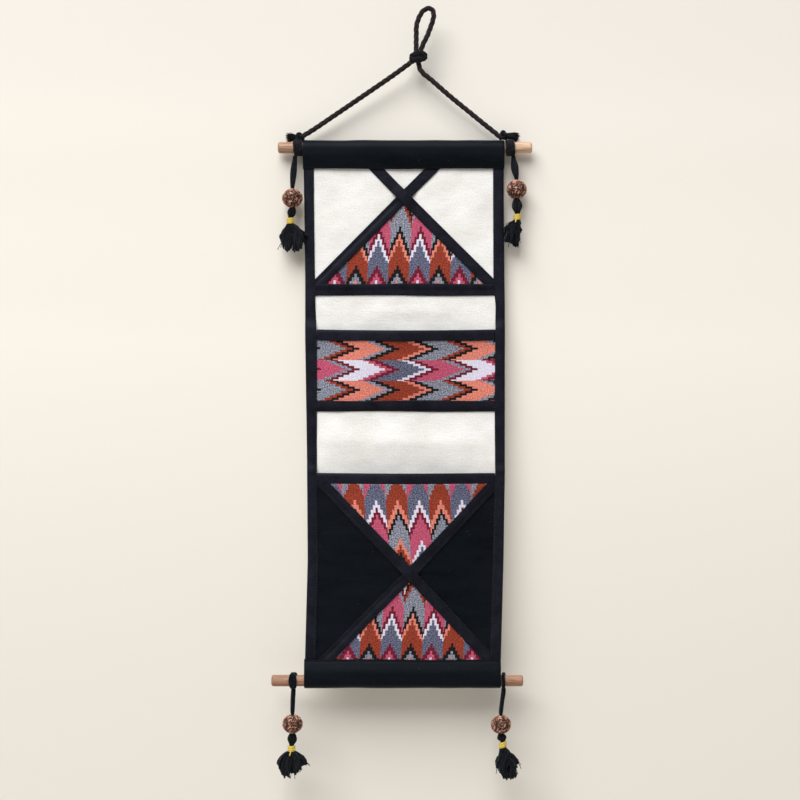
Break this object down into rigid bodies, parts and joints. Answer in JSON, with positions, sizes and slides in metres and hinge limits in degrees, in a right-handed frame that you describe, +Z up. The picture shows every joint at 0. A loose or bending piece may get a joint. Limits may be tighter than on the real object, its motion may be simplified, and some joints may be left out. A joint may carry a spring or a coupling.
{
  "type": "pocket wall hanging with rods",
  "caption": "Cotton wall hanging between two wooden rods, with open pockets, flame-woven patches, crossed black straps, a knotted hanging cord and bead tassels.",
  "frame": {"origin": "inside top of the hanging loop, where a hook or nail carries the whole", "axes": "+Z up, +X to the viewer's right, +Y back to the wall; the front faces -Y"},
  "size_m": [0.2605, 0.0259, 0.7756],
  "materials": {
    "black_cotton": "matt plain weave",
    "white_cotton": "matt slubby hand-loom weave",
    "flame_cloth": "matt stepped flame pattern in rust, peach, pink, grey, white and black",
    "black_yarn": "soft twisted and teased cotton yarn",
    "yellow_thread": "slightly shiny wound thread",
    "rod_wood": "bare sanded dowel",
    "seed": "gnarled dry seed, unpolished"
  },
  "bodies": {
    "root": {"rod_top": "rod_wood", "rod_foot": "rod_wood", "heading_casing": "black_cotton", "foot_casing": "black_cotton", "back_panel": "white_cotton", "binding_left": "black_cotton", "binding_right": "black_cotton", "cross_band": "black_cotton", "patch_top": "flame_cloth", "strap_top_over": "black_cotton", "strap_top_under": "black_cotton", "pocket_upper_front": "flame_cloth", "pocket_upper_mouth": "black_cotton", "pocket_upper_foot": "black_cotton", "pocket_lower_front": "black_cotton", "pocket_lower_mouth": "black_cotton", "patch_pocket_upper": "flame_cloth", "patch_pocket_lower": "flame_cloth", "strap_pocket_over": "black_cotton", "strap_pocket_under": "black_cotton", "cord_left": "black_yarn", "cord_right": "black_yarn", "cord_loop": "black_yarn", "cord_knot": "black_yarn", "hitch_left": "black_yarn", "hitch_right": "black_yarn", "tassel_top_left": "black_yarn", "bead_top_left": "seed", "wrap_top_left": "yellow_thread", "tassel_top_right": "black_yarn", "bead_top_right": "seed", "wrap_top_right": "yellow_thread", "tassel_foot_left": "black_yarn", "bead_foot_left": "seed", "wrap_foot_left": "yellow_thread", "tassel_foot_right": "black_yarn", "bead_foot_right": "seed", "wrap_foot_right": "yellow_thread"}
  },
  "joints": []
}
